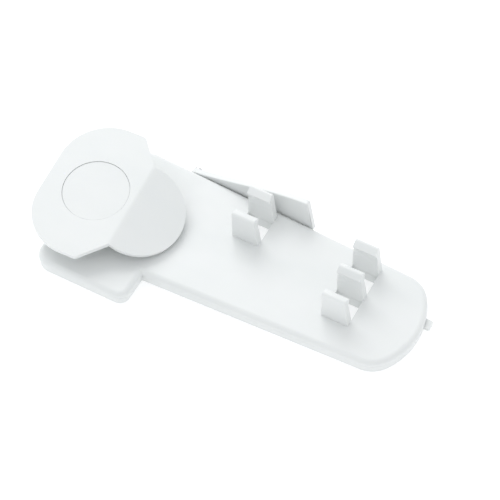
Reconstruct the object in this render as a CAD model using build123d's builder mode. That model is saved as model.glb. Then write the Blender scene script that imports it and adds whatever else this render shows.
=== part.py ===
from build123d import *
import math
import os

# Stair gate latch: a flat two-shell case that snaps onto the gate's bars, with a thumb-turn knob
# over its head. Turning the knob a quarter turn draws a spring-loaded bolt back into the case
# through a pinion and a rack. A sprung catch fin stands along the far edge of the case.
# Frame: X along the case, Y across it, +Z up from the case's flat underside, millimetres.

# ---- driving dimensions -------------------------------------------------------------------------

# case outline
head_end_x = -68.0          # straight end of the head
tip_x = 66.4                # furthest point of the rounded tip
half_width = 22.4           # half the case's width at X = 0
taper = 2.4                 # degrees that each long edge closes in towards the tip
tip_radius = 28.0           # wide arc of the rounded tip
tip_corner = 11.0           # corners that blend the tip into the long edges
tip_joint_x = 57.0          # about where the wide arc meets the long edges
foot_x = -30.4              # right edge of the foot
foot_y = -36.2              # near edge of the foot
foot_corners = (6.0, 4.0)   # head end, notch end
head_corner = 16.0          # far corner of the head

# case section
case_height = 6.0
seam_z = 3.8                # underside of the top plate's skirt
seam_gap = 0.6
lower_inset = 0.3           # the lower shell stands back under the top one
skin = 1.4                  # top plate's skin
floor = 1.2                 # base cover's floor
top_wall = 1.5
tongue_gap = 0.1
tongue_wall = 1.0
tongue_z = 4.3
ceiling = case_height - skin
edge_round = 2.0            # round along the top plate's rim
rib = 1.2
boss_radius = 2.5
pilot_radius = 1.05         # hole that a screw cuts its thread in

# snap clips for round bars
bar_radius = 5.0
bar_pitch = 12.0
clip_length = 8.6           # at the top of a leaf
clip_foot = 10.4            # at its root: the right-hand ends slope
clip_height = 13.8          # above the case's top
bar_height = 8.4            # bar's axis above the case's top
seat_below = 20.0           # degrees of the bar's circle that the seat hugs below its axis
seat_above = 40.0           # and above it, up to the lip
leaf_root = 0.5             # how far a leaf runs down into the plate
leaf_crown = 0.9            # round along a leaf's top edge
lip_round = 0.2
pair_x, pair_y = -10.1, 12.6            # two-leaf clip: left end, channel's middle
triple_x, triple_y = 33.1, (-2.3, 9.7)  # three-leaf clip: left end, channels' middles
window_width = 9.4          # flush with the leaves

# knob
pivot_x, pivot_y = -58.5, -6.7
knob_height = 10.15         # middle of the thumb rest above the case's top
knob_tilt = 6.0             # degrees, the near side is the lower one
knob_turned = 2.0           # degrees that the knob stands off square at rest
knob_wall = 1.8
knob_back = -18.9           # straight edge over the head's end
knob_half = 26.95
knob_corner = 18.4
knob_tip = 6.0              # where the flat ends turn towards the ridge
ridge_x = 14.5
ridge_round = 4.0
flap_bend = 22.0
flap_radius = 17.4
flap_centre = 2.6           # past the ridge
ridge_half = math.sqrt(flap_radius ** 2 - flap_centre ** 2)
thumb_radius = 12.2
thumb_depth = 0.2
cap_thickness = 1.2
hub_round = 6.5             # radius of the hub over the bush
knob_rib = 1.4
knob_rib_depth = 3.0

# pinion and rack
module = 0.7
teeth = 14
pressure_angle = 25.0
addendum = 0.8 * module
dedendum = 1.1 * module
backlash = 0.14
pitch_radius = module * teeth / 2
gear_z = (1.5, 4.3)
shaft_radius = 3.0
bush_radius = 4.48
running_gap = 0.05

# bolt
rack_y = pivot_y + pitch_radius         # the rack's pitch line
bolt_z = (1.4, 4.2)
bolt_far_y = 8.0
bolt_throw = 7.0                        # the tongue's reach past the head
slide_tail_x = -30.0
tongue_thickness = 1.5

# catch fin
catch_x = -36.0             # its pivot
catch_z = 2.3
catch_thickness = 2.2
catch_gap = 0.35
catch_reach = 49.4          # from the pivot to the fin's end
pin_radius = 1.0
clip_radius = 1.7

screw_spots = [(-60.5, -30.0), (-35.8, -30.2), (-45.0, 16.5), (4.0, -15.0), (22.0, 10.0), (55.0, -7.0)]

os.makedirs("parts", exist_ok=True)
pieces = []


def finish(builder, label):
    """Name a finished piece and keep it for export."""
    builder.part.label = label
    pieces.append(builder.part)


def edge_y(x):
    """Half the case's width at x."""
    return half_width - math.tan(math.radians(taper)) * x


# ---- case outline -------------------------------------------------------------------------------

def case_outline(inset=0.0):
    """The case seen from above: a tapering plate with a round tip, and a foot beside its head."""
    arc_centre = tip_x - tip_radius
    blend_x = arc_centre + math.sqrt(tip_radius ** 2 - edge_y(tip_joint_x) ** 2)
    with BuildSketch() as outline:
        with BuildLine():
            Polyline(
                (blend_x, edge_y(blend_x)),
                (head_end_x, edge_y(head_end_x)),
                (head_end_x, foot_y),
                (foot_x, foot_y),
                (foot_x, -edge_y(foot_x)),
                (blend_x, -edge_y(blend_x)),
            )
            ThreePointArc((blend_x, -edge_y(blend_x)), (tip_x, 0), (blend_x, edge_y(blend_x)))
        make_face()
        corners = outline.vertices()
        fillet(corners.filter_by(lambda v: abs(v.X - blend_x) < 0.01), tip_corner)
        fillet(outline.vertices().sort_by_distance((head_end_x, edge_y(head_end_x)))[0], head_corner)
        fillet(outline.vertices().sort_by_distance((head_end_x, foot_y))[0], foot_corners[0])
        fillet(outline.vertices().sort_by_distance((foot_x, foot_y))[0], foot_corners[1])
        if inset:
            offset(amount=-inset, kind=Kind.INTERSECTION, mode=Mode.REPLACE)
    return outline.sketch


# ---- snap clips ---------------------------------------------------------------------------------

def leaf_profile(channels):
    """A clip leaf in section, leaf centre at 0: channels holds -1, +1 or both, the sides with a bar."""
    bar_y = bar_pitch / 2
    low = math.radians(seat_below)
    high = math.radians(seat_above)
    face_y = bar_y - bar_radius * math.cos(low)
    lip = (bar_y - bar_radius * math.cos(high), bar_height + bar_radius * math.sin(high))
    foot_z = bar_height - bar_radius * math.sin(low)
    back_y = 0.0 if len(channels) == 2 else -face_y
    with BuildSketch() as profile:
        for side in channels:
            with BuildLine():
                Polyline(
                    (side * lip[0], lip[1]),
                    (side * back_y, clip_height),
                    (side * back_y, -leaf_root),
                    (side * face_y, -leaf_root),
                    (side * face_y, foot_z),
                )
                ThreePointArc(
                    (side * face_y, foot_z),
                    (side * (bar_y - bar_radius), bar_height),
                    (side * lip[0], lip[1]),
                )
            make_face()
        fillet(profile.vertices().sort_by(Axis.Y)[-1], leaf_crown)
        lips = profile.vertices().filter_by(lambda v: abs(v.Y - lip[1]) < 0.01)
        fillet(lips, lip_round)
    return profile.sketch


def clip_leaves(left_x, channel_middles):
    """Clip leaves either side of each channel, their right-hand ends sloping in towards the top."""
    spots = [(channel_middles[0] - bar_pitch / 2, (1,))]
    for middle in channel_middles[1:]:
        spots.append((middle - bar_pitch / 2, (-1, 1)))
    spots.append((channel_middles[-1] + bar_pitch / 2, (-1,)))
    slope = math.degrees(math.atan((clip_foot - clip_length) / clip_height))
    root_end = Location((left_x + clip_foot, 0, case_height), (0, 90 - slope, 0))
    with BuildPart() as leaves:
        with BuildSketch(Plane.YZ.offset(left_x)):
            for middle, channels in spots:
                with Locations((middle, case_height)):
                    add(leaf_profile(channels))
        extrude(amount=clip_foot)
        split(bisect_by=Plane(root_end), keep=Keep.BOTTOM)
    return leaves.part


windows = [(pair_x, pair_y)] + [(triple_x, middle) for middle in triple_y]


def window_sketch(z, grow=0.0):
    """The windows under the clip channels, at height z, grown on every side."""
    with BuildSketch(Plane.XY.offset(z)) as sketch:
        for left_x, middle in windows:
            with Locations((left_x + clip_foot / 2, middle)):
                Rectangle(clip_foot - 0.4 + 2 * grow, window_width + 2 * grow)
    return sketch.sketch


# ---- the catch's own plane: x along the case's far edge, y up, at the pivot ----------------------

catch_out = Vector(math.sin(math.radians(taper)), math.cos(math.radians(taper)), 0)
catch_along = Vector(math.cos(math.radians(taper)), -math.sin(math.radians(taper)), 0)
pivot_point = Vector(catch_x, edge_y(catch_x), catch_z)


def catch_plane(out):
    """Upright plane along the far edge, out from it by the given distance."""
    return Plane(origin=pivot_point + catch_out * out, x_dir=catch_along, z_dir=catch_out * -1)


heel_along = 9.0
heel_z = (3.0, 4.1)
heel_width = 3.6
heel_depth = 5.6


def heel_slot(z_low, z_high):
    """Slot in the far wall that the catch's heel works in."""
    with BuildSketch(catch_plane(1.0)) as sketch:
        with Locations((heel_along, (z_low + z_high) / 2 - catch_z)):
            Rectangle(heel_width + 1.2, z_high - z_low)
    return sketch.sketch


mouth_depth = 5.0
mouth_room = 0.25           # above and below the bolt


def bolt_mouth():
    """Mouth in the head's end wall that the bolt comes out of."""
    with BuildSketch(Plane.YZ.offset(head_end_x - 1)) as sketch:
        with Locations(((rack_y + bolt_far_y) / 2 - 0.5, (bolt_z[0] + bolt_z[1]) / 2)):
            Rectangle(bolt_far_y - rack_y + 2.0, bolt_z[1] - bolt_z[0] + 2 * mouth_room)
    return sketch.sketch


# ---- top plate ----------------------------------------------------------------------------------

with BuildPart() as top_plate:
    with BuildSketch(Plane.XY.offset(seam_z)):
        add(case_outline())
    extrude(amount=case_height - seam_z)
    fillet(top_plate.faces().sort_by(Axis.Z)[-1].outer_wire().edges(), edge_round)
    with BuildSketch(Plane.XY.offset(seam_z)):
        add(case_outline(top_wall))
    extrude(amount=ceiling - seam_z, mode=Mode.SUBTRACT)
    # bosses for the cover screws
    with BuildSketch(Plane.XY.offset(floor + 0.05)):
        with Locations(*screw_spots):
            Circle(boss_radius)
    extrude(amount=ceiling - floor)
    # stiffening ribs under the skin
    with BuildSketch(Plane.XY.offset(ceiling - rib)):
        with Locations((17, -13.5), (17, 17.0)):
            Rectangle(28, 1.0)
    extrude(amount=rib + 0.1)
    # clips and the windows under them
    add(clip_leaves(pair_x, (pair_y,)))
    add(clip_leaves(triple_x, triple_y))
    extrude(window_sketch(floor), amount=case_height, mode=Mode.SUBTRACT)
    # release slot at the left end of each window
    with BuildSketch(Plane.XY.offset(seam_z)):
        for window_x, window_y in windows:
            with Locations((window_x - 0.6, window_y - 1.0)):
                Rectangle(1.6, 1.6)
    extrude(amount=case_height, mode=Mode.SUBTRACT)
    # bush hole
    with BuildSketch(Plane.XY):
        with Locations((pivot_x, pivot_y)):
            Circle(bush_radius + 0.02)
    extrude(amount=case_height + 1, mode=Mode.SUBTRACT)
    # pilot holes up into the bosses
    with BuildSketch(Plane.XY):
        with Locations(*screw_spots):
            Circle(pilot_radius)
    extrude(amount=ceiling, mode=Mode.SUBTRACT)
    # upper part of the bolt's mouth, and of the slot for the catch's heel
    extrude(bolt_mouth(), amount=mouth_depth, mode=Mode.SUBTRACT)
    extrude(heel_slot(1.5, 4.45), amount=mouth_depth, mode=Mode.SUBTRACT)
finish(top_plate, "top_plate")

# ---- base cover ---------------------------------------------------------------------------------

lug_y = 6.0
spigot_radius = 1.5
gear_room = 1.2             # round the pinion, in the end wall
spring_y = 3.6
spring_z = (bolt_z[0] + bolt_z[1]) / 2
spring_end_x = -14.0

with BuildPart() as base_cover:
    with BuildSketch():
        add(case_outline(lower_inset))
    extrude(amount=seam_z - seam_gap)
    chamfer(base_cover.faces().sort_by(Axis.Z)[0].outer_wire().edges(), 0.4)
    with BuildSketch(Plane.XY.offset(floor)):
        add(case_outline(top_wall + tongue_gap))
    extrude(amount=tongue_z - floor)
    with BuildSketch(Plane.XY.offset(floor)):
        add(case_outline(top_wall + tongue_gap + tongue_wall))
    extrude(amount=tongue_z, mode=Mode.SUBTRACT)
    # window frames
    add(extrude(window_sketch(0, 1.0), amount=ceiling - 0.1, mode=Mode.PRIVATE))
    extrude(window_sketch(-1), amount=case_height, mode=Mode.SUBTRACT)
    # room for the pinion in the end wall
    with BuildSketch(Plane.XY.offset(floor)):
        with Locations((pivot_x, pivot_y)):
            Circle(pitch_radius + gear_room)
    extrude(amount=case_height, mode=Mode.SUBTRACT)
    # spigot that centres the pinion
    with BuildSketch(Plane.XY.offset(floor)):
        with Locations((pivot_x, pivot_y)):
            Circle(spigot_radius)
    extrude(amount=0.9)
    # ribs either side of the bolt
    with BuildSketch(Plane.XY.offset(floor)):
        with Locations((-33, bolt_far_y + 0.75), (-33, rack_y + dedendum - 0.75)):
            Rectangle(26, rib)
    extrude(amount=2.4)
    with BuildSketch(Plane.XY.offset(floor)):
        with Locations((spring_end_x + 1.0, spring_y)):
            Rectangle(2.0, 7.0)
    extrude(amount=3.0)
    # block that carries the catch pin, and room for the clip behind it
    with BuildSketch(catch_plane(-1.0)):
        with Locations((0, -0.3)):
            Rectangle(5.0, 3.0)
    extrude(amount=5.0)
    with BuildSketch(catch_plane(-6.1)):
        Circle(clip_radius + 0.2)
    extrude(amount=1.6, mode=Mode.SUBTRACT)
    # bolt's mouth and the slot for the catch's heel
    extrude(bolt_mouth(), amount=mouth_depth, mode=Mode.SUBTRACT)
    extrude(heel_slot(1.5, 4.45), amount=mouth_depth, mode=Mode.SUBTRACT)
    # holes: catch pin, spring pin, cover screws
    with BuildSketch(catch_plane(1.0)):
        Circle(pin_radius + 0.02)
    extrude(amount=9, mode=Mode.SUBTRACT)
    with BuildSketch(Plane.YZ.offset(spring_end_x)):
        with Locations((spring_y, spring_z)):
            Circle(0.62)
    extrude(amount=1.4, mode=Mode.SUBTRACT)
    with Locations(*[Location((x, y, 0), (180, 0, 0)) for x, y in screw_spots]):
        CounterSinkHole(radius=1.15, counter_sink_radius=2.3, depth=floor + 0.4, counter_sink_angle=90)
    # lug on the tip
    with BuildSketch(Plane.XY.offset(1.9)):
        with Locations((tip_x - 0.8, lug_y)):
            RectangleRounded(5.0, 3.6, 0.8)
    extrude(amount=1.5)
finish(base_cover, "base_cover")

# ---- cover screws -------------------------------------------------------------------------------

with BuildPart() as cover_screws:
    for spot_x, spot_y in screw_spots:
        with BuildSketch(Plane(origin=(spot_x, spot_y, 0), x_dir=(1, 0, 0), z_dir=(0, -1, 0))):
            with BuildLine():
                Polyline((0, 0.1), (2.1, 0.1), (1.0, 1.2), (1.0, 3.7), (0, 4.3), close=True)
            make_face()
        revolve(axis=Axis((spot_x, spot_y, 0), (0, 0, 1)))
        with BuildSketch(Plane.XY.offset(0.1)):
            with Locations((spot_x, spot_y)):
                Rectangle(2.2, 0.5)
                Rectangle(0.5, 2.2)
        extrude(amount=0.6, mode=Mode.SUBTRACT)
finish(cover_screws, "cover_screws")

# ---- pivot: bush, washers, pinion ---------------------------------------------------------------

flange_z = case_height + 0.6
square_z = 6.95
square_side = 4.0


def ring(z, thickness, inner, outer):
    """A flat ring round the knob's axis."""
    with BuildPart() as body:
        with BuildSketch(Plane.XY.offset(z)):
            with Locations((pivot_x, pivot_y)):
                Circle(outer)
                Circle(inner, mode=Mode.SUBTRACT)
        extrude(amount=thickness)
    return body


with BuildPart() as shaft_bush:
    with BuildSketch(Plane.XY.offset(ceiling)):
        with Locations((pivot_x, pivot_y)):
            Circle(bush_radius)
            Circle(shaft_radius + running_gap, mode=Mode.SUBTRACT)
    extrude(amount=flange_z - ceiling)
    with BuildSketch(Plane.XY.offset(case_height)):
        with Locations((pivot_x, pivot_y)):
            Circle(6.0)
            Circle(shaft_radius + running_gap, mode=Mode.SUBTRACT)
    extrude(amount=flange_z - case_height)
finish(shaft_bush, "shaft_bush")

thrust_washer = ring(floor + 0.02, 0.25, 1.6, 4.0)
finish(thrust_washer, "thrust_washer")
wave_washer = ring(flange_z + 0.06, 0.3, shaft_radius + 0.1, 5.6)
finish(wave_washer, "wave_washer")


def polar(radius, angle):
    """Point at that radius and angle."""
    return (radius * math.cos(angle), radius * math.sin(angle))


def involute(base_radius, radius, sign, offset_angle):
    """Point of an involute flank at the given radius."""
    roll = math.sqrt(max((radius / base_radius) ** 2 - 1, 0.0))
    return polar(radius, offset_angle + sign * (roll - math.atan(roll)))


def gear_outline():
    """Involute spur gear outline, with one tooth gap facing +Y so that the rack meshes at rest."""
    pressure = math.radians(pressure_angle)
    base_radius = pitch_radius * math.cos(pressure)
    root_radius = pitch_radius - dedendum
    outer_radius = pitch_radius + addendum
    pitch_half = (math.pi * module / 2 - backlash / 2) / (2 * pitch_radius)
    base_half = pitch_half + math.tan(pressure) - pressure
    foot_radius = 0.9 * root_radius
    start = max(base_radius, root_radius)
    radii = [start + (outer_radius - start) * step / 5 for step in range(6)]
    with BuildSketch() as outline:
        Circle(root_radius + 0.02)
        for index in range(teeth):
            turn = math.pi / 2 + (index + 0.5) * 2 * math.pi / teeth
            lower = [involute(base_radius, r, 1, turn - base_half) for r in radii]
            upper = [involute(base_radius, r, -1, turn + base_half) for r in radii]
            lower_foot = polar(foot_radius, turn - base_half)
            upper_foot = polar(foot_radius, turn + base_half)
            with BuildLine():
                Line(lower_foot, lower[0])
                Spline(*lower)
                Line(lower[-1], upper[-1])
                Spline(*reversed(upper))
                Line(upper[0], upper_foot)
                Line(upper_foot, lower_foot)
            make_face()
    return outline.sketch


with BuildPart() as drive_pinion:
    with BuildSketch(Plane.XY.offset(gear_z[0])):
        with Locations((pivot_x, pivot_y)):
            add(gear_outline())
    extrude(amount=gear_z[1] - gear_z[0])
    with BuildSketch(Plane.XY.offset(gear_z[1])):
        with Locations((pivot_x, pivot_y)):
            Circle(shaft_radius)
    extrude(amount=square_z - gear_z[1])
    with BuildSketch(Plane.XY.offset(square_z)):
        with Locations((pivot_x, pivot_y)):
            Rectangle(square_side, square_side, rotation=knob_turned)
    extrude(amount=2.2)
    with BuildSketch(Plane.XY.offset(3.2)):
        with Locations((pivot_x, pivot_y)):
            Circle(1.05)
    extrude(amount=8, mode=Mode.SUBTRACT)
    with BuildSketch(Plane.XY.offset(gear_z[0])):
        with Locations((pivot_x, pivot_y)):
            Circle(1.6)
    extrude(amount=0.7, mode=Mode.SUBTRACT)
finish(drive_pinion, "drive_pinion")

# ---- knob ---------------------------------------------------------------------------------------

knob_spin = Location((pivot_x, pivot_y, case_height + knob_height), (0, 0, knob_turned))
facet_at = knob_spin * Location((0, 0, 0), (knob_tilt, 0, 0))
facet = Plane(facet_at)
flap_plane = Plane(facet_at * Location((ridge_x, 0, 0), (0, flap_bend, 0)))


def facet_outline():
    """The knob's big face: rounded towards the head's end, cut off at the ridge."""
    arc_y = knob_half - knob_corner
    arc_x = knob_back + knob_corner
    mid = knob_corner * math.sin(math.radians(45))
    with BuildSketch() as outline:
        with BuildLine():
            Line((knob_back, -arc_y), (knob_back, arc_y))
            ThreePointArc((knob_back, arc_y), (arc_x - mid, arc_y + mid), (arc_x, knob_half))
            Polyline(
                (arc_x, knob_half),
                (knob_tip, knob_half),
                (ridge_x, ridge_half),
                (ridge_x, -ridge_half),
                (knob_tip, -knob_half),
                (arc_x, -knob_half),
            )
            ThreePointArc((arc_x, -knob_half), (arc_x - mid, -arc_y - mid), (knob_back, -arc_y))
        make_face()
        fillet(outline.vertices().filter_by(lambda v: abs(v.X - knob_tip) < 0.01), 2.0)
    return outline.sketch


def flap_outline():
    """The part of a disc that lies past the ridge."""
    with BuildSketch() as outline:
        with Locations((flap_centre, 0)):
            Circle(flap_radius)
        with Locations((-flap_radius, 0)):
            Rectangle(2 * flap_radius, 4 * flap_radius, mode=Mode.SUBTRACT)
    return outline.sketch


with BuildPart() as turn_knob:
    with BuildSketch(facet):
        add(facet_outline())
    extrude(amount=-knob_wall)
    with BuildSketch(flap_plane):
        add(flap_outline())
    extrude(amount=-knob_wall)
    ridge = turn_knob.edges().sort_by_distance((facet_at * Location((ridge_x, 0, 0))).position)[0]
    fillet(ridge, ridge_round)
    # boss under the thumb rest, hub down to the bush, and ribs
    with BuildSketch(facet.offset(-knob_wall)):
        Circle(thumb_radius + 1.3)
    extrude(amount=-1.6)
    with BuildSketch(Plane.XY.offset(flange_z + 0.4)):
        with Locations((pivot_x, pivot_y)):
            Circle(hub_round)
    extrude(amount=knob_height - knob_wall - 0.6)
    with BuildSketch(facet.offset(-knob_wall)):
        Rectangle(knob_rib, 2 * knob_half - 8)
        with Locations((3.0, 0)):
            Rectangle(16.0, knob_rib)
    extrude(amount=-knob_rib_depth)
    # pocket for the cap, screw head pocket, screw hole and square socket
    with BuildSketch(facet):
        Circle(thumb_radius)
    extrude(amount=-(thumb_depth + cap_thickness), mode=Mode.SUBTRACT)
    with BuildSketch(Plane.XY.offset(12.4)):
        with Locations((pivot_x, pivot_y)):
            Circle(3.4)
    extrude(amount=6, mode=Mode.SUBTRACT)
    with BuildSketch(Plane.XY.offset(9.0)):
        with Locations((pivot_x, pivot_y)):
            Circle(1.5)
    extrude(amount=6, mode=Mode.SUBTRACT)
    with BuildSketch(Plane.XY.offset(6.5)):
        with Locations((pivot_x, pivot_y)):
            Rectangle(square_side + 0.1, square_side + 0.1, rotation=knob_turned)
    extrude(amount=3.1, mode=Mode.SUBTRACT)
finish(turn_knob, "turn_knob")

with BuildPart() as knob_cap:
    with BuildSketch(facet.offset(-(thumb_depth + cap_thickness) + 0.02)):
        Circle(thumb_radius - 0.06)
    extrude(amount=cap_thickness - 0.02)
    chamfer(knob_cap.edges().sort_by(Axis.Z)[-1], 0.15)
finish(knob_cap, "knob_cap")

with BuildPart() as knob_screw:
    with BuildSketch(Plane.XY.offset(12.75)):
        with Locations((pivot_x, pivot_y)):
            Circle(2.4)
    extrude(amount=1.3)
    with BuildSketch(Plane.XY.offset(4.0)):
        with Locations((pivot_x, pivot_y)):
            Circle(1.0)
    extrude(amount=8.8)
    fillet(knob_screw.faces().sort_by(Axis.Z)[-1].edges(), 0.4)
    with BuildSketch(Plane.XY.offset(14.1)):
        with Locations((pivot_x, pivot_y)):
            Rectangle(2.6, 0.55)
            Rectangle(0.55, 2.6)
    extrude(amount=-0.7, mode=Mode.SUBTRACT)
finish(knob_screw, "knob_screw")

screw_washer = ring(12.42, 0.3, 1.3, 3.2)
finish(screw_washer, "screw_washer")

# ---- bolt ---------------------------------------------------------------------------------------

def rack_outline():
    """Slide seen from above: a bar whose near edge carries the rack teeth round the pinion."""
    root_y = rack_y + dedendum
    tooth_pitch = math.pi * module
    slope = math.tan(math.radians(pressure_angle))
    tip_half = tooth_pitch / 4 - backlash / 4 - addendum * slope
    root_half = tooth_pitch / 4 - backlash / 4 + dedendum * slope
    with BuildSketch() as outline:
        with Locations(((head_end_x + 0.1 + slide_tail_x) / 2, (root_y + bolt_far_y) / 2)):
            Rectangle(slide_tail_x - head_end_x - 0.1, bolt_far_y - root_y)
        for index in range(-3, 2):
            middle = pivot_x + index * tooth_pitch
            with BuildLine():
                Polyline(
                    (middle - root_half, root_y + 0.1),
                    (middle - root_half, root_y),
                    (middle - tip_half, rack_y - addendum),
                    (middle + tip_half, rack_y - addendum),
                    (middle + root_half, root_y),
                    (middle + root_half, root_y + 0.1),
                    close=True,
                )
            make_face()
    return outline.sketch


tongue_near_y = rack_y + dedendum + 1.6
tongue_z_low = bolt_z[1] - tongue_thickness
tongue_back_x = -44.0
rivet_spots = [(-60.0, 4.6), (-49.0, 4.6)]
rivet_hole = 1.0
rivet_head = 1.7

with BuildPart() as rack_slide:
    with BuildSketch(Plane.XY.offset(bolt_z[0])):
        add(rack_outline())
    extrude(amount=bolt_z[1] - bolt_z[0])
    # recess that the steel tongue lies in
    with BuildSketch(Plane.XY.offset(tongue_z_low)):
        with Locations(((head_end_x - 1 + tongue_back_x) / 2, (tongue_near_y + bolt_far_y + 1) / 2)):
            Rectangle(tongue_back_x - head_end_x + 1, bolt_far_y + 1 - tongue_near_y)
    extrude(amount=tongue_thickness + 1, mode=Mode.SUBTRACT)
    with BuildSketch(Plane.XY):
        with Locations(*rivet_spots):
            Circle(rivet_hole)
    extrude(amount=case_height, mode=Mode.SUBTRACT)
    # blind hole for the spring pin
    with BuildSketch(Plane.YZ.offset(slide_tail_x)):
        with Locations((spring_y, spring_z)):
            Circle(0.8)
    extrude(amount=-12.0, mode=Mode.SUBTRACT)
finish(rack_slide, "rack_slide")

with BuildPart() as bolt_tongue:
    nose_x = head_end_x - bolt_throw
    with BuildSketch(Plane.XY.offset(tongue_z_low)):
        with Locations(((nose_x + tongue_back_x) / 2 - 0.05, (tongue_near_y + bolt_far_y) / 2 + 0.05)):
            Rectangle(tongue_back_x - nose_x - 0.1, bolt_far_y - tongue_near_y - 0.1)
        with Locations(*rivet_spots):
            Circle(rivet_hole, mode=Mode.SUBTRACT)
    extrude(amount=tongue_thickness)
    nose = bolt_tongue.faces().sort_by(Axis.X)[0]
    fillet(nose.edges().filter_by(Axis.Z), 1.5)
    chamfer(bolt_tongue.faces().sort_by(Axis.X)[0].edges().filter_by(Axis.Y), 0.4)
finish(bolt_tongue, "bolt_tongue")

with BuildPart() as bolt_rivets:
    for spot in rivet_spots:
        with BuildSketch(Plane.XY.offset(bolt_z[0])):
            with Locations(spot):
                Circle(rivet_hole - 0.02)
        extrude(amount=bolt_z[1] - bolt_z[0])
        with BuildSketch(Plane.XY.offset(bolt_z[1])):
            with Locations(spot):
                Circle(rivet_head)
        extrude(amount=0.2)
finish(bolt_rivets, "bolt_rivets")

# ---- bolt spring and its pin --------------------------------------------------------------------

spring_start_x = slide_tail_x + 0.1
spring_length = spring_end_x - spring_start_x - 0.1
spring_wire = 0.2
spring_coil = 1.15

with BuildPart() as bolt_spring:
    with BuildLine() as coil:
        Helix(
            pitch=(spring_length - 2 * spring_wire) / 11,
            height=spring_length - 2 * spring_wire,
            radius=spring_coil,
            center=(spring_start_x + spring_wire, spring_y, spring_z),
            direction=(1, 0, 0),
        )
    with BuildSketch(Plane(origin=coil.line @ 0, z_dir=coil.line % 0)):
        Circle(spring_wire)
    sweep()
finish(bolt_spring, "bolt_spring")

with BuildPart() as spring_pin:
    with BuildSketch(Plane.YZ.offset(slide_tail_x - 3.0)):
        with Locations((spring_y, spring_z)):
            Circle(0.6)
    extrude(amount=spring_end_x + 1.3 - slide_tail_x + 3.0)
finish(spring_pin, "spring_pin")

# ---- catch fin, its pin, clip and spring --------------------------------------------------------

hub_radius = 2.2
fin_round = 0.4
pin_head = 1.9
pin_length = 10.6
fin_top = [(8.0, 6.6), (28.0, 13.2), (47.0, 17.4)]
fin_end_low = (catch_reach, 3.2)

with BuildPart() as side_catch:
    with BuildSketch(catch_plane(catch_gap)) as fin:
        Circle(hub_radius)
        with BuildLine():
            Line((0, -hub_radius), (fin_end_low[0], fin_end_low[1] - catch_z))
            Line((fin_end_low[0], fin_end_low[1] - catch_z), (fin_top[2][0], fin_top[2][1] - catch_z))
            Spline(*[(x, z - catch_z) for x, z in reversed(fin_top)], (0, hub_radius))
            Line((0, hub_radius), (0, -hub_radius))
        make_face()
        fillet(fin.vertices().sort_by_distance((fin_top[2][0], fin_top[2][1] - catch_z))[0], 0.8)
        Circle(pin_radius + running_gap, mode=Mode.SUBTRACT)
    extrude(amount=-catch_thickness)
    long_edges = side_catch.edges().filter_by(lambda e: e.length > 9)
    fillet(long_edges, fin_round)
    # heel that reaches in over the catch spring
    with BuildSketch(catch_plane(catch_gap + 0.6)):
        with Locations((heel_along, (heel_z[0] + heel_z[1]) / 2 - catch_z)):
            Rectangle(heel_width, heel_z[1] - heel_z[0])
    extrude(amount=heel_depth + 0.6)
finish(side_catch, "side_catch")

with BuildPart() as catch_pin:
    with BuildSketch(catch_plane(catch_gap + catch_thickness + 0.1)):
        Circle(pin_radius)
    extrude(amount=pin_length)
    with BuildSketch(catch_plane(catch_gap + catch_thickness + 0.1)):
        Circle(pin_head)
    extrude(amount=-0.7)
    fillet(catch_pin.faces().sort_by(Axis.Y)[-1].edges(), 0.3)
    with BuildSketch(catch_plane(-6.6)):
        Circle(pin_radius + 1)
        Circle(pin_radius - 0.25, mode=Mode.SUBTRACT)
    extrude(amount=0.5, mode=Mode.SUBTRACT)
finish(catch_pin, "catch_pin")

with BuildPart() as pin_clip:
    with BuildSketch(catch_plane(-6.62)):
        Circle(clip_radius)
        Circle(pin_radius - 0.22, mode=Mode.SUBTRACT)
        with Locations((0, 1.5)):
            Rectangle(1.2, 3.0, mode=Mode.SUBTRACT)
    extrude(amount=0.45)
finish(pin_clip, "pin_clip")

catch_spring_at = pivot_point + catch_along * heel_along - catch_out * 3.9
catch_spring_wire = 0.15

with BuildPart() as catch_spring:
    with BuildLine() as catch_coil:
        Helix(
            pitch=0.4,
            height=1.4,
            radius=1.2,
            center=(catch_spring_at.X, catch_spring_at.Y, floor + 0.2),
        )
    with BuildSketch(Plane(origin=catch_coil.line @ 0, z_dir=catch_coil.line % 0)):
        Circle(catch_spring_wire)
    sweep()
finish(catch_spring, "catch_spring")

# ---- export -------------------------------------------------------------------------------------

for piece in pieces:
    export_step(piece, f"parts/{piece.label}.step")
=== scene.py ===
# %% [markdown]
# # A stair gate latch in white moulded plastic
#
# The real latch is a flat two-shell case, about as long as a hand is wide and a half. A thumb-turn
# knob sits over one end, spring clips stand on the plate, and a thin catch fin runs along its far edge.
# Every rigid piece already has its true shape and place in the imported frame, so this lesson gives the
# pieces what moulding gives them: softened edges, a white that drifts a little, and a skin with a fine
# texture.
#
# The frame is loaded first. Its box is noted straight away, because nothing made later may leave it.

# %% Load the frame
import math

import bmesh
import bpy
from mathutils import Matrix, Vector


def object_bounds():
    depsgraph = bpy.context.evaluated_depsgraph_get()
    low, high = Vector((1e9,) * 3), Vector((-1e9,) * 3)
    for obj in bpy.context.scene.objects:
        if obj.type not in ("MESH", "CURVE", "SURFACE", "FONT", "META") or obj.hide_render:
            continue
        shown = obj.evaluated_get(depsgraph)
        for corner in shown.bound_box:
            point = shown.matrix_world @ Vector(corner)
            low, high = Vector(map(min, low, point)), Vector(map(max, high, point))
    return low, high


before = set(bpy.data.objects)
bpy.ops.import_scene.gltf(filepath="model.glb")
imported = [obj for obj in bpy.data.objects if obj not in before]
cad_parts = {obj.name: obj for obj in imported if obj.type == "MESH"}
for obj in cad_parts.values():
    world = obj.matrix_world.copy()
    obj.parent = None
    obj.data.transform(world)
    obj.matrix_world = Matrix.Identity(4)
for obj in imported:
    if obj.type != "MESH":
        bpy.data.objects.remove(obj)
cad_low, cad_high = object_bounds()
latch_size = cad_high - cad_low
print("pieces in the frame:", len(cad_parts))
print("latch size in mm:", [round(1000 * side, 1) for side in latch_size])

MM = 0.001

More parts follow.
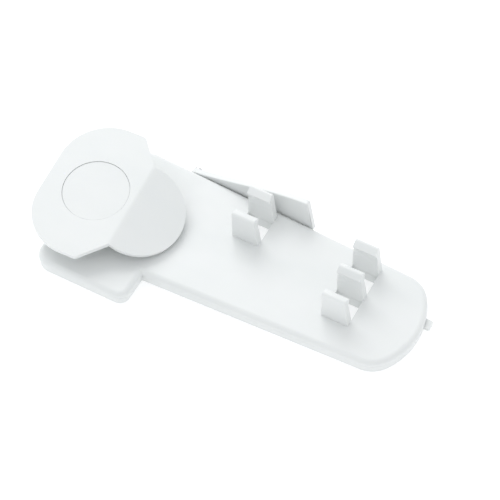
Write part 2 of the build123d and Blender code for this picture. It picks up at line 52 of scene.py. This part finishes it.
# %% [markdown]
# ## The camera
#
# A small product is best seen through a long lens from a little distance, so that its long sides stay
# nearly parallel. The camera stands in front and to the right, well above the latch, and leans by
# about one degree. Its three axes are worked out from those angles, which is easier to trust than
# nudging a rotation by eye, and it aims at the middle of the latch.

# %% Camera
view_turn = math.radians(29.4)
view_lift = math.radians(55.3)
view_lean = math.radians(-0.99)
view_distance = 0.7
aim = Vector((0.27, -0.41, 11.1)) * MM

level_right = Vector((math.cos(view_turn), math.sin(view_turn), 0))
backwards = Vector((
    math.sin(view_turn) * math.cos(view_lift),
    -math.cos(view_turn) * math.cos(view_lift),
    math.sin(view_lift),
))
level_up = backwards.cross(level_right)
right = level_right * math.cos(view_lean) + level_up * math.sin(view_lean)
up = level_up * math.cos(view_lean) - level_right * math.sin(view_lean)

camera = bpy.data.objects.new("camera", bpy.data.cameras.new("camera"))
bpy.context.scene.collection.objects.link(camera)
camera.data.lens = 144
camera.data.sensor_width = 36
camera.data.clip_start = 0.01
camera.matrix_world = Matrix.Translation(aim + backwards * view_distance) @ Matrix(
    (right, up, backwards)
).transposed().to_4x4()
bpy.context.scene.camera = camera
print("camera at, in mm:", [round(1000 * c) for c in camera.matrix_world.translation])

# %% [markdown]
# ## Floor and light
#
# White on white is a matter of small differences. One wide soft sheet of light stands above, behind
# and to the left, so the tops are brightest and the clips throw soft shadows to the front right. A
# second lamp in front would flatten those shadows. The fill comes from a room that glows evenly and
# from a floor that gives back a little light of its own, as a lit table does, and that also brightens
# the windows under the clips. The floor stays lighter than the plastic, so the outline still reads.

# %% Floor
floor_half = 1.2
floor_gap = 0.02 * MM
floor_mesh = bpy.data.meshes.new("floor")
floor_build = bmesh.new()
bmesh.ops.create_grid(floor_build, x_segments=1, y_segments=1, size=floor_half)
floor_build.to_mesh(floor_mesh)
floor_build.free()
floor = bpy.data.objects.new("floor", floor_mesh)
floor.location.z = cad_low.z - floor_gap
bpy.context.scene.collection.objects.link(floor)

# %% [markdown]
# A material is a small network of nodes. This helper starts one and hands back a short way of adding
# nodes and joining them, so that each finish below reads as a recipe.


# %% A helper that starts a material
class Recipe:
    """A material with its surface shader, and a short way to add and join nodes."""

    def __init__(self, name):
        self.material = bpy.data.materials.new(name)
        self.material.use_nodes = True
        self.tree = self.material.node_tree
        self.surface = self.tree.nodes["Principled BSDF"]
        self.place = self.add("ShaderNodeTexCoord").outputs["Object"]

    def add(self, kind, **settings):
        """Adds a node. Settings that name a socket go to the socket, the others to the node."""
        node = self.tree.nodes.new(kind)
        for name, value in settings.items():
            if name in node.inputs:
                node.inputs[name].default_value = value
            else:
                setattr(node, name, value)
        return node

    def join(self, output, target):
        self.tree.links.new(output, target)

    def grain(self, scale, detail=2.0, roughness=0.5, stretch=(1, 1, 1)):
        """Noise with that many lumps per metre, stretched along an axis if asked."""
        mapping = self.add("ShaderNodeMapping")
        mapping.inputs["Scale"].default_value = stretch
        self.join(self.place, mapping.inputs["Vector"])
        lumps = self.add("ShaderNodeTexNoise", Scale=scale, Detail=detail, Roughness=roughness)
        self.join(mapping.outputs["Vector"], lumps.inputs["Vector"])
        return lumps.outputs["Fac"]

    def span(self, value, low, high, start=0.3, end=0.7):
        """Maps a noise value onto a range."""
        mapped = self.add("ShaderNodeMapRange")
        for name, number in {"From Min": start, "From Max": end, "To Min": low, "To Max": high}.items():
            mapped.inputs[name].default_value = number
        self.join(value, mapped.inputs["Value"])
        return mapped.outputs["Result"]

    def tint(self, value, dark, light, start=0.35, end=0.65):
        """Colour that runs from dark to light with the value."""
        ramp = self.add("ShaderNodeValToRGB")
        ramp.color_ramp.elements[0].position = start
        ramp.color_ramp.elements[1].position = end
        ramp.color_ramp.elements[0].color = (*dark, 1)
        ramp.color_ramp.elements[1].color = (*light, 1)
        self.join(value, ramp.inputs["Fac"])
        return ramp.outputs["Color"]

    def relief(self, *layers):
        """Bumps the surface with (height, depth in metres) layers, one on top of the other."""
        below = None
        for height, depth in layers:
            bump = self.add("ShaderNodeBump", Distance=depth, Strength=1.0)
            self.join(height, bump.inputs["Height"])
            if below is not None:
                self.join(below, bump.inputs["Normal"])
            below = bump.outputs["Normal"]
        self.join(below, self.surface.inputs["Normal"])


floor_glow = 0.45
floor_paper = Recipe("floor_paper")
floor_paper.join(
    floor_paper.tint(floor_paper.grain(60.0), (0.72, 0.725, 0.73), (0.74, 0.745, 0.75)),
    floor_paper.surface.inputs["Base Color"],
)
floor_paper.surface.inputs["Emission Color"].default_value = (1.0, 1.0, 1.0, 1)
floor_paper.surface.inputs["Emission Strength"].default_value = floor_glow
floor_paper.surface.inputs["Roughness"].default_value = 0.9
floor_paper.surface.inputs["Specular IOR Level"].default_value = 0.1
floor.data.materials.append(floor_paper.material)


# %% Lights
def soft_light(name, across, back, height, side, power):
    """A square sheet of light, placed from the aim in the camera's own right and away directions."""
    away = Vector((-math.sin(view_turn), math.cos(view_turn), 0))
    lamp = bpy.data.objects.new(name, bpy.data.lights.new(name, "AREA"))
    lamp.data.size = side
    lamp.data.energy = power
    lamp.location = aim + level_right * across + away * back + Vector((0, 0, height))
    lamp.rotation_euler = (aim - lamp.location).to_track_quat("-Z", "Y").to_euler()
    bpy.context.scene.collection.objects.link(lamp)


soft_light("key_sheet", across=-0.35, back=0.9, height=0.8, side=0.95, power=6.4)

room_colour = (0.97, 0.985, 1.0, 1)
room_glow = 0.9
room = bpy.data.worlds.new("room")
room.use_nodes = True
room.node_tree.nodes["Background"].inputs["Color"].default_value = room_colour
room.node_tree.nodes["Background"].inputs["Strength"].default_value = room_glow
bpy.context.scene.world = room
bpy.context.scene.view_settings.view_transform = "Standard"
bpy.context.scene.view_settings.look = "None"

# %% [markdown]
# ## White moulded plastic
#
# Both shells, the knob and the catch are moulded in the same white plastic, a tough grade with a
# little give. Its colour is a white that leans very slightly to green. A tool that was polished with
# fine stone leaves a satin skin, so a highlight on it is broad and soft. Three things make it look
# moulded rather than painted: the white drifts a little where the melt flowed, the gloss changes over
# a few millimetres, and the skin has a fine orange peel. Light also goes a short way in, which keeps
# the shaded edges soft.
#
# The case and the knob come from different tools, so the recipe takes how coarse the skin is.


# %% Plastic recipe
def moulded_white(name, dark, light, gloss, grain_depth, grain_scale):
    """White plastic: drifting colour, patchy gloss and an orange-peel skin."""
    plastic = Recipe(name)
    surface = plastic.surface.inputs
    plastic.join(
        plastic.tint(plastic.grain(45.0, detail=2.0, stretch=(0.6, 1.4, 1.0)), dark, light),
        surface["Base Color"],
    )
    patches = plastic.grain(160.0, detail=3.0)
    plastic.join(plastic.span(patches, *gloss), surface["Roughness"])
    plastic.relief(
        (plastic.grain(90.0, detail=1.0), 0.03 * MM),
        (plastic.grain(grain_scale, detail=2.0), grain_depth),
    )
    surface["IOR"].default_value = 1.49
    surface["Subsurface Weight"].default_value = 0.12
    surface["Subsurface Radius"].default_value = (1.0, 1.0, 0.9)
    surface["Subsurface Scale"].default_value = 0.8 * MM
    return plastic.material


case_plastic = moulded_white(
    "case_plastic_white", (0.775, 0.795, 0.79), (0.80, 0.815, 0.81), (0.30, 0.42), 0.006 * MM, 2600.0
)
knob_plastic = moulded_white(
    "knob_plastic_white", (0.77, 0.79, 0.785), (0.795, 0.81, 0.805), (0.29, 0.37), 0.005 * MM, 3200.0
)
cap_plastic = moulded_white(
    "cap_plastic_white", (0.77, 0.788, 0.784), (0.79, 0.806, 0.80), (0.34, 0.46), 0.008 * MM, 3600.0
)
print("plastics:", case_plastic.name, knob_plastic.name, cap_plastic.name)

# %% [markdown]
# ## Nylon, zinc plate and steel
#
# The pieces that rub are nylon: cream, dull and a little cloudy. The screws are zinc plated, which is
# bright but never a mirror, and its sheen runs patchy. Springs are drawn wire, darker, with lines
# along the wire. The tongue, rivets and pins are blanked steel that was tumbled smooth, so they
# carry many tiny dents and a softened shine.


# %% Recipes for the inner pieces
def cloudy_nylon():
    nylon = Recipe("natural_nylon")
    nylon.join(
        nylon.tint(nylon.grain(300.0, detail=3.0), (0.71, 0.69, 0.61), (0.79, 0.775, 0.70)),
        nylon.surface.inputs["Base Color"],
    )
    nylon.join(nylon.span(nylon.grain(700.0), 0.42, 0.60), nylon.surface.inputs["Roughness"])
    nylon.relief((nylon.grain(2400.0), 0.006 * MM))
    nylon.surface.inputs["Subsurface Weight"].default_value = 0.15
    nylon.surface.inputs["Subsurface Scale"].default_value = 0.8 * MM
    return nylon.material


def metal(name, dark, light, gloss, grain_scale, depth, stretch=(1, 1, 1)):
    """Metal with patchy brightness and a fine relief, stretched where it was drawn or brushed."""
    steel = Recipe(name)
    steel.join(
        steel.tint(steel.grain(grain_scale, detail=3.0, stretch=stretch), dark, light),
        steel.surface.inputs["Base Color"],
    )
    steel.join(
        steel.span(steel.grain(grain_scale * 0.7, stretch=stretch), *gloss),
        steel.surface.inputs["Roughness"],
    )
    steel.relief((steel.grain(grain_scale * 2, stretch=stretch), depth))
    steel.surface.inputs["Metallic"].default_value = 1.0
    return steel.material


nylon = cloudy_nylon()
zinc = metal("zinc_plate", (0.55, 0.57, 0.60), (0.72, 0.73, 0.74), (0.22, 0.36), 900.0, 0.003 * MM)
wire = metal(
    "drawn_wire", (0.33, 0.33, 0.35), (0.50, 0.50, 0.52), (0.25, 0.40), 1200.0, 0.003 * MM, (1, 4, 4)
)
tumbled = metal("tumbled_steel", (0.50, 0.50, 0.51), (0.66, 0.66, 0.67), (0.28, 0.44), 1500.0, 0.005 * MM)
print("inner finishes:", nylon.name, zinc.name, wire.name, tumbled.name)

# %% [markdown]
# ## Softened edges
#
# No moulded edge is a true corner: the cutter that makes the tool has a radius, and so has the part.
# The edges could be rounded by hand one by one. A bevel that picks edges by their angle does the
# same for the whole piece and leaves the piece's own shape alone, because it only takes material
# away. The surfaces come in separate patches, so a weld goes first to let the bevel see the edges.
# A bevel also bends the shading of the flats beside it. The last modifier lets the large faces decide
# how a corner is shaded, so that the flats stay flat and only the thin rounded strip catches the light.


# %% Round the edges and lay the finishes on
weld_reach = 0.002 * MM
round_steps = 3


def soften(node, width, turn=35.0):
    """Rounds a node's edges, where its faces meet at more than the given turn in degrees."""
    weld = node.modifiers.new("join_patches", "WELD")
    weld.merge_threshold = weld_reach
    bevel = node.modifiers.new("soft_edges", "BEVEL")
    bevel.width = width
    bevel.segments = round_steps
    bevel.limit_method = "ANGLE"
    bevel.angle_limit = math.radians(turn)
    bevel.use_clamp_overlap = True
    shading = node.modifiers.new("flat_faces_stay_flat", "WEIGHTED_NORMAL")
    shading.keep_sharp = True


finishes = {
    "top_plate": (case_plastic, 0.22 * MM),
    "base_cover": (case_plastic, 0.15 * MM),
    "turn_knob": (knob_plastic, 0.25 * MM),
    "knob_cap": (cap_plastic, 0.0),
    "side_catch": (knob_plastic, 0.25 * MM),
    "shaft_bush": (nylon, 0.05 * MM),
    "thrust_washer": (nylon, 0.0),
    "drive_pinion": (nylon, 0.0),
    "rack_slide": (nylon, 0.0),
    "cover_screws": (zinc, 0.0),
    "knob_screw": (zinc, 0.0),
    "screw_washer": (zinc, 0.0),
    "wave_washer": (wire, 0.0),
    "bolt_spring": (wire, 0.0),
    "catch_spring": (wire, 0.0),
    "pin_clip": (wire, 0.0),
    "bolt_tongue": (tumbled, 0.1 * MM),
    "bolt_rivets": (tumbled, 0.0),
    "spring_pin": (tumbled, 0.0),
    "catch_pin": (tumbled, 0.0),
}
for node_name, (finish, edge) in finishes.items():
    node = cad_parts[node_name]
    for material_slot in node.material_slots:
        material_slot.material = finish
    if edge:
        soften(node, edge)
unfinished = sorted(set(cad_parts) - set(finishes))
print("pieces finished:", len(finishes), "left over:", unfinished)
